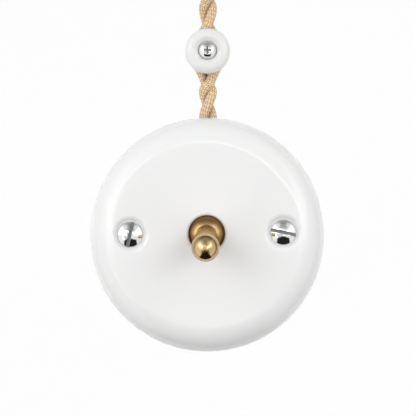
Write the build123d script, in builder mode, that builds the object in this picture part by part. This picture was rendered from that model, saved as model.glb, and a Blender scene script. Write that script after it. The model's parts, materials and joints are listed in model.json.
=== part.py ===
from build123d import *
import math
import os

os.makedirs("parts", exist_ok=True)

# Cover
COVER_D = 85.0
COVER_FRONT_D = 84.7
COVER_DEPTH = 34.0
COVER_EDGE_R = 10.0
FACE_T = 5.0
SKIRT_T = 4.5
SKIRT_GAP = 0.5
INNER_EDGE_R = 5.0
HOLE_LIP_R = 1.05
NOTCH_W = 8.0

# Base
BASE_GAP = 0.8
BASE_T = 6.0
PAD_T = 1.5
BOSS_R = 6.5
BOSS_TOP = 16.0
WALL_HOLE_IN = 7.2
WALL_HOLE_D = 4.6
WALL_HEAD_D = 8.6

# Cover screws
SCREW_IN = 14.95
SCREW_TURN = 0.75
SCREW_D = 5.0
SCREW_HEAD_D = 9.2
SCREW_CROWN = 1.5
SLOT_W = 1.2
SLOT_DEPTH = 1.6
SLOT_ANGLES = (78.0, -12.0)
DISH_R = 6.6
DISH_LIP_R = 1.0
DISH_DEPTH = 1.2
INSERT_D = 8.0
INSERT_L = 9.0

# Lever
PIVOT_DEPTH = 31.0
TILT = 14.0
DOME_R = 6.6
DOME_BORE_R = 5.2
DOME_SHOW = 0.1
DOME_RIM = -1.2
STEM_D = 7.3
STEM_ROOT_R = 0.8
BALL_D = 10.0
LEVER_L = 24.0
ROD_D = 4.4
ROD_END = 12.0
HUB_R = 2.8
HUB_W = 5.2
TAIL_D = 5.0
TAIL_L = 14.0
PIN_D = 2.0
PIN_L = 12.4
RUN_FIT = 0.04

# Spring and plunger
PLUNGER_D = 3.0
PLUNGER_TOP = 9.6
PLUNGER_L = 17.0
BORE_FIT = 0.05
SPRING_TOP = 5.0
SPRING_WIRE = 0.4
SPRING_R = 1.1
SPRING_TURNS = 5.0

# Bridge
EAR_IN = 2.9
EAR_OUT = 4.2
EAR_HALF = 2.2
BRIDGE_FRONT = 26.6
BRIDGE_T = 1.2
BRIDGE_SLOT_L = 14.0

# Housing
HOUSING_W = 23.0
HOUSING_IN = 25.0
HOUSING_WALL = 3.5
SIDE_WALL = 3.0
SMALL_SCREW_D = 2.5
BRIDGE_HEAD_R = 2.1
BRIDGE_HEAD_T = 1.4
BRIDGE_SCREW_L = 8.0
HOUSING_HEAD_R = 2.3
HOUSING_HEAD_T = 1.7
HOUSING_SCREW_L = 12.5
SMALL_SLOT_W = 0.7
SMALL_SLOT_DEPTH = 0.7
HEAD_SINK = 0.5

# Rocker and contacts
ROCKER_DEPTH = 10.4
ROCKER_PIN_D = 1.4
ROCKER_TILT = 8.0
ROCKER_W = 5.2
CONTACT_IN = 1.8
CONTACT_D = 3.0
CONTACT_T = 0.5
ARM_GAP = 3.7
ARM_TOP = 1.2
ARM_T = 1.0
VEE_FLOOR = 1.35
VEE_RIM = 3.45
VEE_HALF = 5.2
VEE_END = 5.8
ROCKER_LOW = 1.5
ROCKER_LOW_HALF = 1.3
ROCKER_WAIST = 2.2
STRIP_T = 0.6
STRIP_W = 3.0
BRACKET_T = 0.8
BRACKET_L = 5.0
BRACKET_EAR_W = 4.0
BRACKET_IN = 3.0

# Terminals
TERMINAL_OUT = 0.5
TERMINAL_GAP = 3.0
TERMINAL_W = 7.0
TERMINAL_L = 6.0
TERMINAL_T = 7.0
WIRE_DEPTH = 12.0
WIRE_D = 2.0
RIVET_D = 2.4
RIVET_HEAD_R = 2.4
RIVET_HEAD_T = 1.2
RIVET_SINK = 0.3
TERMINAL_SCREW_R = 1.5
TERMINAL_HEAD_R = 2.7
TERMINAL_HEAD_T = 1.8
TERMINAL_SLOT_W = 0.8
TERMINAL_SLOT_DEPTH = 0.9

# Cord
STRAND_D = 3.3
STRAND_X = 1.72
CORD_DEPTH = 9.0
CORD_START_IN = 0.5
LEAD_BEND_R = 2.5
LEAD_BARE = 1.4

# Insulators
INSULATOR_Z = 67.7
END_INSULATOR_Z = 98.0
INSULATOR_D = 16.7
INSULATOR_L = 18.6
FLANGE_R = 7.0
FLANGE_T = 1.5
NECK_R = 2.9
NECK_BACK = 6.8
NECK_FRONT = 11.2
HEAD_BACK_R = 4.8
HEAD_BACK = 12.6
HEAD_WIDEST = 15.6
CREST_R = 5.6
CREST_DISH = 0.9
SEAT_DEPTH = 1.5
INSULATOR_HOLE_D = 4.2
INSULATOR_SCREW_D = 3.8
INSULATOR_SCREW_HEAD_D = 6.3

# Positions that follow from them, on planes that face the front
FACE_Y = -COVER_DEPTH
INNER_Y = FACE_Y + FACE_T
SKIRT_IN_R = COVER_D / 2 - SKIRT_T
BASE_R = SKIRT_IN_R - BASE_GAP
WALL_HOLE_Z = BASE_R - WALL_HOLE_IN
CORD_START_Z = COVER_D / 2 - CORD_START_IN
HOUSING_H = COVER_D - HOUSING_IN * 2
CAVITY_W = HOUSING_W - SIDE_WALL * 2
CAVITY_H = HOUSING_H - HOUSING_WALL * 2
FIXING_Z = HOUSING_H / 2 - HOUSING_WALL / 2
ARM_L = CAVITY_H / 2 - ARM_GAP
CONTACT_Z = ARM_L - CONTACT_IN
TERMINAL_X = HOUSING_W / 2 + TERMINAL_OUT
TERMINAL_Z = HOUSING_H / 2 + TERMINAL_GAP + TERMINAL_L / 2
LEAD_END_Z = TERMINAL_Z + TERMINAL_L / 2 + LEAD_BARE
PAD_Y = -BASE_T - PAD_T
STRIP_Y = PAD_Y - STRIP_T
THROAT_R = DOME_R - DOME_SHOW
SEAT_Y = FACE_Y + DISH_DEPTH
STEM_R = STEM_D / 2
STRAND_R = STRAND_D / 2
strip_x = CAVITY_W / 2 - STRIP_W / 2 - 0.5
half = COVER_D / 2 - SCREW_IN
turn = math.radians(SCREW_TURN)
screw_places = [
    (-half * math.cos(turn), -half * math.sin(turn)),
    (half * math.cos(turn), half * math.sin(turn)),
]
terminals = {
    "terminal_common": (-TERMINAL_X, TERMINAL_Z),
    "terminal_upper": (TERMINAL_X, TERMINAL_Z),
    "terminal_lower": (TERMINAL_X, -TERMINAL_Z),
}


def front(y):
    return Plane(origin=(0, y, 0), x_dir=(1, 0, 0), z_dir=(0, -1, 0))


def turned(x, z):
    return Plane(origin=(x, 0, z), x_dir=(1, 0, 0), z_dir=(0, 0, 1))


def depth_axis(x, z):
    return Axis((x, 0, z), (0, 1, 0))


# Porcelain cover: shell, bosses, lever hole, screw dishes, cord notch
with BuildPart() as cover:
    with BuildSketch(Plane.XY) as cover_profile:
        with BuildLine():
            Polyline(
                (0, FACE_Y),
                (COVER_FRONT_D / 2, FACE_Y),
                (COVER_D / 2, -SKIRT_GAP),
                (COVER_D / 2 - SKIRT_T, -SKIRT_GAP),
                (COVER_FRONT_D / 2 - SKIRT_T, INNER_Y),
                (0, INNER_Y),
                close=True,
            )
        make_face()
        rim = cover_profile.vertices()
        fillet(rim.sort_by_distance((COVER_FRONT_D / 2, FACE_Y))[0], radius=COVER_EDGE_R)
        rim = cover_profile.vertices()
        inner_corner = (COVER_FRONT_D / 2 - SKIRT_T, INNER_Y)
        fillet(rim.sort_by_distance(inner_corner)[0], radius=INNER_EDGE_R)
        rim = cover_profile.vertices()
        fillet(rim.sort_by_distance((COVER_D / 2, -SKIRT_GAP))[0], radius=1.0)
    revolve(axis=Axis.Y)
    with BuildSketch(front(-BOSS_TOP)):
        with Locations(*screw_places):
            Circle(BOSS_R)
    extrude(amount=COVER_DEPTH - BOSS_TOP - FACE_T + 1.0)
    with BuildSketch(Plane.XY):
        lip_x = THROAT_R + HOLE_LIP_R
        lip_y = FACE_Y + HOLE_LIP_R
        with BuildLine():
            Polyline((0, FACE_Y - 1), (lip_x, FACE_Y - 1), (lip_x, FACE_Y))
            CenterArc((lip_x, lip_y), HOLE_LIP_R, 180, 90)
            Polyline(
                (THROAT_R, lip_y),
                (THROAT_R, lip_y + 0.25),
                (THROAT_R + 0.4, lip_y + 0.95),
                (THROAT_R + 0.4, INNER_Y + 1),
                (0, INNER_Y + 1),
                (0, FACE_Y - 1),
            )
        make_face()
    revolve(axis=Axis.Y, mode=Mode.SUBTRACT)
    for x, z in screw_places:
        with BuildSketch(turned(x, z)):
            dish_low = FACE_Y + DISH_LIP_R
            cone_r = SCREW_HEAD_D / 2 + 0.15
            hole_r = SCREW_D / 2 + 0.25
            with BuildLine():
                Polyline((0, FACE_Y - 1), (DISH_R, FACE_Y - 1), (DISH_R, FACE_Y))
                CenterArc((DISH_R, dish_low), DISH_LIP_R, 180, 90)
                Polyline(
                    (DISH_R - DISH_LIP_R, dish_low),
                    (DISH_R - DISH_LIP_R, SEAT_Y),
                    (cone_r, SEAT_Y),
                    (hole_r, SEAT_Y + cone_r - hole_r),
                    (hole_r, 1 - BOSS_TOP),
                    (0, 1 - BOSS_TOP),
                    (0, FACE_Y - 1),
                )
            make_face()
        revolve(axis=depth_axis(x, z), mode=Mode.SUBTRACT)
    with BuildSketch(Plane.XY.offset(SKIRT_IN_R - NOTCH_W)):
        with Locations((0, -CORD_DEPTH / 2)):
            Rectangle(NOTCH_W, CORD_DEPTH)
        with Locations((0, -CORD_DEPTH)):
            Circle(NOTCH_W / 2)
    extrude(amount=SKIRT_T + NOTCH_W * 2, mode=Mode.SUBTRACT)
cover.part.label = "cover"
export_step(cover.part, "parts/cover.step")

# Porcelain base with its bosses, pads and holes
with BuildPart() as base:
    with BuildSketch(front(0)):
        Circle(BASE_R)
    extrude(amount=BASE_T)
    fillet(base.edges().group_by(Axis.Y)[0], radius=1.0)
    with BuildSketch(front(1 - BASE_T)):
        with Locations(*screw_places):
            Circle(BOSS_R)
    extrude(amount=BOSS_TOP - BASE_T + 1)
    with BuildSketch(front(1 - BASE_T)):
        with Locations(*terminals.values()):
            Rectangle(TERMINAL_W, TERMINAL_L)
    extrude(amount=PAD_T + 1)
    with BuildSketch(front(-BOSS_TOP)):
        with Locations(*screw_places):
            Circle(INSERT_D / 2)
    extrude(amount=-INSERT_L, mode=Mode.SUBTRACT)
    with BuildSketch(front(0)):
        with Locations((0, WALL_HOLE_Z), (0, -WALL_HOLE_Z)):
            Circle(WALL_HOLE_D / 2)
        with Locations((0, FIXING_Z), (0, -FIXING_Z)):
            Circle(SMALL_SCREW_D / 2)
        with Locations(*terminals.values()):
            Circle(RIVET_D / 2)
    extrude(amount=BASE_T + PAD_T + 1, mode=Mode.SUBTRACT)
    with BuildSketch(front(-BASE_T)):
        with Locations((0, WALL_HOLE_Z), (0, -WALL_HOLE_Z)):
            Circle(WALL_HEAD_D / 2)
    extrude(amount=-2.5, mode=Mode.SUBTRACT)
    with BuildSketch(front(0)):
        with Locations((0, FIXING_Z), (0, -FIXING_Z)):
            Circle(HOUSING_HEAD_R + 0.2)
    extrude(amount=HEAD_SINK + HOUSING_HEAD_T, mode=Mode.SUBTRACT)
    with BuildSketch(front(0)):
        with Locations(*terminals.values()):
            Circle(RIVET_HEAD_R + 0.2)
    extrude(amount=RIVET_SINK + RIVET_HEAD_T, mode=Mode.SUBTRACT)
base.part.label = "base"
export_step(base.part, "parts/base.step")

# Threaded bushes in the base
with BuildPart() as cover_inserts:
    with BuildSketch(front(-BOSS_TOP)):
        with Locations(*screw_places):
            Circle(INSERT_D / 2)
            Circle(SCREW_D / 2, mode=Mode.SUBTRACT)
    extrude(amount=-INSERT_L)
cover_inserts.part.label = "cover_inserts"
export_step(cover_inserts.part, "parts/cover_inserts.step")

# Slotted raised countersunk screws
with BuildPart() as cover_screws:
    head_r = SCREW_HEAD_D / 2
    shank_r = SCREW_D / 2
    rim_y = SEAT_Y + 0.15
    crown_y = rim_y - 0.3
    top_y = crown_y - SCREW_CROWN
    sphere_r = (head_r**2 + SCREW_CROWN**2) / (2 * SCREW_CROWN)
    mid_r = head_r / 2
    mid_y = top_y + sphere_r - math.sqrt(sphere_r**2 - mid_r**2)
    for (x, z), angle in zip(screw_places, SLOT_ANGLES):
        with BuildSketch(turned(x, z)):
            with BuildLine():
                ThreePointArc((0, top_y), (mid_r, mid_y), (head_r, crown_y))
                Polyline(
                    (head_r, crown_y),
                    (head_r, rim_y),
                    (shank_r, rim_y + head_r - shank_r),
                    (shank_r, -8.5),
                    (0, -8.5),
                    (0, top_y),
                )
            make_face()
        revolve(axis=depth_axis(x, z))
        with BuildSketch(front(top_y - 1)):
            with Locations((x, z)):
                Rectangle(SCREW_HEAD_D + 2, SLOT_W, rotation=angle)
        extrude(amount=-1 - SLOT_DEPTH, mode=Mode.SUBTRACT)
cover_screws.part.label = "cover_screws"
export_step(cover_screws.part, "parts/cover_screws.step")

# Turned lever: ball, stem and hollow dome, drawn on its tilted axis
tilt = math.radians(TILT)
pivot = (0, -PIVOT_DEPTH, 0)
lever_dir = (0, -math.cos(tilt), -math.sin(tilt))
lever_side = (0, math.sin(tilt), -math.cos(tilt))
lever_plane = Plane(origin=pivot, x_dir=(1, 0, 0), z_dir=lever_side)
lever_cross = Plane(origin=pivot, x_dir=(1, 0, 0), z_dir=lever_dir)
lever_yz = Plane(origin=pivot, x_dir=lever_dir, z_dir=(1, 0, 0))
lever_axis = Axis(pivot, lever_dir)
with BuildPart() as lever:
    ball_r = BALL_D / 2
    rod_r = ROD_D / 2
    neck_h = LEVER_L - math.sqrt(ball_r**2 - STEM_R**2)
    root_h = math.sqrt(DOME_R**2 - STEM_R**2)
    rim_out = math.sqrt(DOME_R**2 - DOME_RIM**2)
    rim_in = math.sqrt(DOME_BORE_R**2 - DOME_RIM**2)
    bore_h = math.sqrt(DOME_BORE_R**2 - rod_r**2)
    with BuildSketch(lever_plane) as lever_profile:
        with BuildLine():
            Line((0, ROD_END), (0, LEVER_L + ball_r))
            ThreePointArc((0, LEVER_L + ball_r), (ball_r, LEVER_L), (STEM_R, neck_h))
            Line((STEM_R, neck_h), (STEM_R, root_h))
            ThreePointArc((STEM_R, root_h), (DOME_R, 0), (rim_out, DOME_RIM))
            Line((rim_out, DOME_RIM), (rim_in, DOME_RIM))
            ThreePointArc((rim_in, DOME_RIM), (DOME_BORE_R, 0), (rod_r, bore_h))
            Polyline((rod_r, bore_h), (rod_r, ROD_END), (0, ROD_END))
        make_face()
    revolve(axis=lever_axis)
    root = lever.edges().filter_by(GeomType.CIRCLE)
    root_point = Vector(*pivot) + Vector(*lever_dir) * root_h
    root = [e for e in root if abs(e.radius - STEM_R) < 0.01]
    root = [e for e in root if (e.arc_center - root_point).length < 0.01]
    fillet(root, radius=STEM_ROOT_R)
    with BuildSketch(Plane(origin=pivot, x_dir=lever_dir, z_dir=(1, 0, 0))):
        Circle(PIN_D / 2)
    extrude(amount=DOME_R + 2, both=True, mode=Mode.SUBTRACT)
lever.part.label = "lever"
export_step(lever.part, "parts/lever.step")

# Steel tail with the hub and the bore of the plunger
with BuildPart() as lever_tail:
    with BuildSketch(lever_cross.offset(-TAIL_L)):
        Circle(TAIL_D / 2)
    extrude(amount=TAIL_L)
    with BuildSketch(lever_cross):
        Circle(ROD_D / 2)
    extrude(amount=ROD_END)
    with BuildSketch(lever_yz):
        Circle(HUB_R)
    extrude(amount=HUB_W / 2, both=True)
    with BuildSketch(lever_cross.offset(-TAIL_L)):
        Circle(PLUNGER_D / 2 + BORE_FIT)
    extrude(amount=TAIL_L - SPRING_TOP, mode=Mode.SUBTRACT)
    with BuildSketch(lever_yz):
        Circle(PIN_D / 2)
    extrude(amount=HUB_W, both=True, mode=Mode.SUBTRACT)
lever_tail.part.label = "lever_tail"
export_step(lever_tail.part, "parts/lever_tail.step")

# Pin fixed in the lever, turning in the ears
with BuildPart() as pivot_pin:
    with BuildSketch(Plane(origin=pivot, x_dir=lever_dir, z_dir=(1, 0, 0))):
        Circle(PIN_D / 2)
    extrude(amount=PIN_L / 2, both=True)
pivot_pin.part.label = "pivot_pin"
export_step(pivot_pin.part, "parts/pivot_pin.step")

# Coil spring between the bore's end and the plunger
with BuildPart() as plunger_spring:
    coil_l = PLUNGER_TOP - SPRING_TOP - SPRING_WIRE
    coil_start = Vector(*pivot) - Vector(*lever_dir) * (PLUNGER_TOP - SPRING_WIRE / 2)
    with BuildLine() as coil:
        Helix(
            pitch=coil_l / SPRING_TURNS,
            height=coil_l,
            radius=SPRING_R,
            center=tuple(coil_start),
            direction=lever_dir,
        )
    with BuildSketch(Plane(origin=coil.line @ 0, z_dir=coil.line % 0)):
        Circle(SPRING_WIRE / 2)
    sweep(path=coil.line)
plunger_spring.part.label = "plunger_spring"
export_step(plunger_spring.part, "parts/plunger_spring.step")

# Plunger with a round tip
with BuildPart() as plunger:
    with BuildSketch(lever_plane):
        tip = PLUNGER_D / 2
        with BuildLine():
            Polyline((0, -PLUNGER_L - tip), (0, -PLUNGER_TOP), (tip, -PLUNGER_TOP), (tip, -PLUNGER_L))
            CenterArc((0, -PLUNGER_L), tip, 270, 90)
        make_face()
    revolve(axis=lever_axis)
plunger.part.label = "plunger"
export_step(plunger.part, "parts/plunger.step")

# Bridge plate with the two ears
with BuildPart() as bridge:
    with BuildSketch(front(BRIDGE_T - BRIDGE_FRONT)):
        RectangleRounded(HOUSING_W, HOUSING_H, 2.0)
        Rectangle(EAR_IN * 2, BRIDGE_SLOT_L, mode=Mode.SUBTRACT)
        with Locations((0, FIXING_Z), (0, -FIXING_Z)):
            Circle(SMALL_SCREW_D / 2, mode=Mode.SUBTRACT)
    extrude(amount=BRIDGE_T)
    for side in (-1, 1):
        with BuildSketch(Plane(origin=(side * EAR_IN, 0, 0), x_dir=(0, 1, 0), z_dir=(1, 0, 0))):
            with Locations((-(PIVOT_DEPTH + BRIDGE_FRONT) / 2, 0)):
                Rectangle(PIVOT_DEPTH - BRIDGE_FRONT, EAR_HALF * 2)
            with Locations((-PIVOT_DEPTH, 0)):
                Circle(EAR_HALF)
                Circle(PIN_D / 2 + RUN_FIT, mode=Mode.SUBTRACT)
        extrude(amount=side * (EAR_OUT - EAR_IN))
bridge.part.label = "bridge"
export_step(bridge.part, "parts/bridge.step")

# Screws of the bridge and of the housing
with BuildPart() as bridge_screws:
    with BuildSketch(front(-BRIDGE_FRONT)):
        with Locations((0, FIXING_Z), (0, -FIXING_Z)):
            Circle(BRIDGE_HEAD_R)
    extrude(amount=BRIDGE_HEAD_T)
    with BuildSketch(front(-BRIDGE_FRONT)):
        with Locations((0, FIXING_Z), (0, -FIXING_Z)):
            Circle(SMALL_SCREW_D / 2)
    extrude(amount=-BRIDGE_SCREW_L)
    with BuildSketch(front(-BRIDGE_FRONT - BRIDGE_HEAD_T)):
        with Locations((0, FIXING_Z), (0, -FIXING_Z)):
            Rectangle(BRIDGE_HEAD_R * 3, SMALL_SLOT_W)
    extrude(amount=-SMALL_SLOT_DEPTH, mode=Mode.SUBTRACT)
bridge_screws.part.label = "bridge_screws"
export_step(bridge_screws.part, "parts/bridge_screws.step")

with BuildPart() as housing_screws:
    with BuildSketch(front(-HEAD_SINK)):
        with Locations((0, FIXING_Z), (0, -FIXING_Z)):
            Circle(HOUSING_HEAD_R)
    extrude(amount=HOUSING_HEAD_T)
    with BuildSketch(front(-HEAD_SINK)):
        with Locations((0, FIXING_Z), (0, -FIXING_Z)):
            Circle(SMALL_SCREW_D / 2)
    extrude(amount=HOUSING_SCREW_L)
    with BuildSketch(front(-HEAD_SINK)):
        with Locations((0, FIXING_Z), (0, -FIXING_Z)):
            Rectangle(HOUSING_HEAD_R * 3, SMALL_SLOT_W)
    extrude(amount=SMALL_SLOT_DEPTH, mode=Mode.SUBTRACT)
housing_screws.part.label = "housing_screws"
export_step(housing_screws.part, "parts/housing_screws.step")

# Moulded housing, open to the front, with passages for the strips
with BuildPart() as housing:
    with BuildSketch(front(-BASE_T)):
        RectangleRounded(HOUSING_W, HOUSING_H, 2.0)
    extrude(amount=BRIDGE_FRONT - BRIDGE_T - BASE_T)
    with BuildSketch(front(PAD_Y)):
        RectangleRounded(CAVITY_W, CAVITY_H, 1.5)
    extrude(amount=BRIDGE_FRONT, mode=Mode.SUBTRACT)
    with BuildSketch(front(-HEAD_SINK)):
        with Locations((0, FIXING_Z), (0, -FIXING_Z)):
            Circle(SMALL_SCREW_D / 2)
    extrude(amount=HOUSING_SCREW_L, mode=Mode.SUBTRACT)
    with BuildSketch(front(-BRIDGE_FRONT)):
        with Locations((0, FIXING_Z), (0, -FIXING_Z)):
            Circle(SMALL_SCREW_D / 2)
    extrude(amount=-BRIDGE_SCREW_L, mode=Mode.SUBTRACT)
    with BuildSketch(front(PAD_Y)):
        with Locations((strip_x, FIXING_Z), (strip_x, -FIXING_Z)):
            Rectangle(STRIP_W, HOUSING_WALL * 2)
        with Locations(((SIDE_WALL - HOUSING_W) / 2, 0)):
            Rectangle(SIDE_WALL * 2, STRIP_W)
    extrude(amount=STRIP_T, mode=Mode.SUBTRACT)
housing.part.label = "housing"
export_step(housing.part, "parts/housing.step")

# Rocker, drawn on its tilted plane
rock = math.radians(ROCKER_TILT)
rocker_yz = Plane(
    origin=(0, -ROCKER_DEPTH, 0),
    x_dir=(0, math.cos(rock), -math.sin(rock)),
    z_dir=(1, 0, 0),
)
with BuildPart() as rocker:
    with BuildSketch(rocker_yz):
        with BuildLine():
            Polyline(
                (-VEE_FLOOR, 0),
                (-VEE_RIM, VEE_HALF),
                (-VEE_RIM, VEE_END),
                (-ARM_TOP, VEE_END),
                (-ARM_TOP, ARM_L),
                (ARM_T - ARM_TOP, ARM_L),
                (ARM_T - ARM_TOP, ROCKER_WAIST),
                (ROCKER_LOW, ROCKER_LOW_HALF),
                (ROCKER_LOW, -ROCKER_LOW_HALF),
                (ARM_T - ARM_TOP, -ROCKER_WAIST),
                (ARM_T - ARM_TOP, -ARM_L),
                (-ARM_TOP, -ARM_L),
                (-ARM_TOP, -VEE_END),
                (-VEE_RIM, -VEE_END),
                (-VEE_RIM, -VEE_HALF),
                (-VEE_FLOOR, 0),
            )
        make_face()
    extrude(amount=ROCKER_W / 2, both=True)
    with BuildSketch(rocker_yz):
        Circle(ROCKER_PIN_D / 2 + RUN_FIT)
    extrude(amount=ROCKER_W, both=True, mode=Mode.SUBTRACT)
rocker.part.label = "rocker"
export_step(rocker.part, "parts/rocker.step")

# Pin of the rocker
with BuildPart() as rocker_pin:
    with BuildSketch(Plane(origin=(0, -ROCKER_DEPTH, 0), x_dir=(0, 1, 0), z_dir=(1, 0, 0))):
        Circle(ROCKER_PIN_D / 2)
    extrude(amount=BRACKET_IN + BRACKET_T + 0.4, both=True)
rocker_pin.part.label = "rocker_pin"
export_step(rocker_pin.part, "parts/rocker_pin.step")

# Silver rivets under the rocker's arms
with BuildPart() as moving_contacts:
    rivet_plane = Plane(
        origin=(0, -ROCKER_DEPTH, 0),
        x_dir=(1, 0, 0),
        z_dir=(0, math.cos(rock), -math.sin(rock)),
    )
    with BuildSketch(rivet_plane.offset(ARM_T - ARM_TOP)):
        with Locations((0, CONTACT_Z), (0, -CONTACT_Z)):
            Circle(CONTACT_D / 2)
    extrude(amount=CONTACT_T)
moving_contacts.part.label = "moving_contacts"
export_step(moving_contacts.part, "parts/moving_contacts.step")

# Bracket of the rocker with its strip to the common terminal
with BuildPart() as common_strip:
    bracket_out = BRACKET_IN + BRACKET_T
    outer_x = HOUSING_W / 2 + 1.0 + STRIP_W / 2
    foot_top = TERMINAL_Z + TERMINAL_L / 2
    with BuildSketch(front(PAD_Y)):
        Rectangle(bracket_out * 2, BRACKET_L)
        with Locations((-(outer_x + STRIP_W / 2) / 2, 0)):
            Rectangle(outer_x + STRIP_W / 2, STRIP_W)
        with Locations((-outer_x, (foot_top - STRIP_W / 2) / 2)):
            Rectangle(STRIP_W, foot_top + STRIP_W / 2)
        with Locations((-TERMINAL_X, TERMINAL_Z)):
            Rectangle(TERMINAL_W, TERMINAL_L)
            Circle(RIVET_D / 2, mode=Mode.SUBTRACT)
    extrude(amount=STRIP_T)
    for side in (-1, 1):
        with BuildSketch(Plane(origin=(side * BRACKET_IN, 0, 0), x_dir=(0, 1, 0), z_dir=(1, 0, 0))):
            with Locations((-(ROCKER_DEPTH - STRIP_Y) / 2, 0)):
                Rectangle(ROCKER_DEPTH + STRIP_Y + 0.3, BRACKET_EAR_W)
            with Locations((-ROCKER_DEPTH, 0)):
                Circle(BRACKET_EAR_W / 2)
                Circle(ROCKER_PIN_D / 2, mode=Mode.SUBTRACT)
        extrude(amount=side * BRACKET_T)
common_strip.part.label = "common_strip"
export_step(common_strip.part, "parts/common_strip.step")

# Contact strips, one above and one below the rocker
for name, way in (("upper_contact", 1), ("lower_contact", -1)):
    with BuildPart() as contact:
        pad_left = CONTACT_D / 2 + 0.7
        pad_right = strip_x + STRIP_W / 2
        with BuildSketch(front(PAD_Y)):
            with Locations(((pad_right - pad_left) / 2, way * CONTACT_Z)):
                Rectangle(pad_right + pad_left, CONTACT_D + 0.5)
            with Locations((strip_x, way * (CONTACT_Z + TERMINAL_Z) / 2)):
                Rectangle(STRIP_W, TERMINAL_Z - CONTACT_Z)
            with Locations(((strip_x - STRIP_W / 2 + TERMINAL_X + TERMINAL_W / 2) / 2, way * TERMINAL_Z)):
                Rectangle(TERMINAL_X + TERMINAL_W / 2 - strip_x + STRIP_W / 2, TERMINAL_L)
            with Locations((TERMINAL_X, way * TERMINAL_Z)):
                Circle(RIVET_D / 2, mode=Mode.SUBTRACT)
        extrude(amount=STRIP_T)
    contact.part.label = name
    export_step(contact.part, "parts/" + name + ".step")

with BuildPart() as fixed_contacts:
    with BuildSketch(front(STRIP_Y)):
        with Locations((0, CONTACT_Z), (0, -CONTACT_Z)):
            Circle(CONTACT_D / 2)
    extrude(amount=CONTACT_T)
fixed_contacts.part.label = "fixed_contacts"
export_step(fixed_contacts.part, "parts/fixed_contacts.step")

# Brass terminal blocks with a wire hole and a threaded hole
for name, (x, z) in terminals.items():
    with BuildPart() as terminal:
        with BuildSketch(front(STRIP_Y)):
            with Locations((x, z)):
                Rectangle(TERMINAL_W, TERMINAL_L)
        extrude(amount=TERMINAL_T)
        chamfer(terminal.edges().group_by(Axis.Y)[0], length=0.4)
        with BuildSketch(Plane(origin=(0, 0, z), x_dir=(1, 0, 0), z_dir=(0, 0, 1))):
            with Locations((x, -WIRE_DEPTH)):
                Circle(WIRE_D / 2)
        extrude(amount=TERMINAL_L, both=True, mode=Mode.SUBTRACT)
        with BuildSketch(front(-WIRE_DEPTH)):
            with Locations((x, z)):
                Circle(TERMINAL_SCREW_R)
        extrude(amount=TERMINAL_T, mode=Mode.SUBTRACT)
        with BuildSketch(front(STRIP_Y)):
            with Locations((x, z)):
                Circle(RIVET_D / 2)
        extrude(amount=RIVET_D, mode=Mode.SUBTRACT)
    terminal.part.label = name
    export_step(terminal.part, "parts/" + name + ".step")

with BuildPart() as terminal_screws:
    block_y = STRIP_Y - TERMINAL_T
    with BuildSketch(front(-WIRE_DEPTH - WIRE_D / 2)):
        with Locations(*terminals.values()):
            Circle(TERMINAL_SCREW_R)
    extrude(amount=-block_y - WIRE_DEPTH - WIRE_D / 2)
    with BuildSketch(front(block_y)):
        with Locations(*terminals.values()):
            Circle(TERMINAL_HEAD_R)
    extrude(amount=TERMINAL_HEAD_T)
    with BuildSketch(front(block_y - TERMINAL_HEAD_T)):
        with Locations(*terminals.values()):
            Rectangle(TERMINAL_HEAD_R * 3, TERMINAL_SLOT_W)
    extrude(amount=-TERMINAL_SLOT_DEPTH, mode=Mode.SUBTRACT)
terminal_screws.part.label = "terminal_screws"
export_step(terminal_screws.part, "parts/terminal_screws.step")

with BuildPart() as terminal_rivets:
    with BuildSketch(front(-RIVET_SINK)):
        with Locations(*terminals.values()):
            Circle(RIVET_HEAD_R)
    extrude(amount=RIVET_HEAD_T)
    with BuildSketch(front(-RIVET_SINK)):
        with Locations(*terminals.values()):
            Circle(RIVET_D / 2)
    extrude(amount=RIVET_D - STRIP_Y - RIVET_SINK)
terminal_rivets.part.label = "terminal_rivets"
export_step(terminal_rivets.part, "parts/terminal_rivets.step")

# Ends of the two strands inside the cover, and their bare conductors
for name, side in (("lead_left", -1), ("lead_right", 1)):
    with BuildPart() as lead:
        with BuildLine() as lead_path:
            FilletPolyline(
                (side * STRAND_X, -CORD_DEPTH, CORD_START_Z),
                (side * STRAND_X, -CORD_DEPTH, SKIRT_IN_R - STRAND_R - 0.9),
                (side * TERMINAL_X, -WIRE_DEPTH, LEAD_END_Z + LEAD_BEND_R),
                (side * TERMINAL_X, -WIRE_DEPTH, LEAD_END_Z),
                radius=(LEAD_BEND_R, LEAD_BEND_R),
            )
        with BuildSketch(Plane(origin=lead_path.line @ 0, z_dir=(0, 0, -1))):
            Circle(STRAND_R)
        sweep(path=lead_path.line)
    lead.part.label = name
    export_step(lead.part, "parts/" + name + ".step")

with BuildPart() as lead_conductors:
    wire_end = TERMINAL_Z - TERMINAL_L / 2 - 1
    with BuildSketch(Plane(origin=(0, 0, wire_end), x_dir=(1, 0, 0), z_dir=(0, 0, 1))):
        with Locations((-TERMINAL_X, -WIRE_DEPTH), (TERMINAL_X, -WIRE_DEPTH)):
            Circle(WIRE_D / 2)
    extrude(amount=LEAD_END_Z - wire_end)
lead_conductors.part.label = "lead_conductors"
export_step(lead_conductors.part, "parts/lead_conductors.step")

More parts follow.
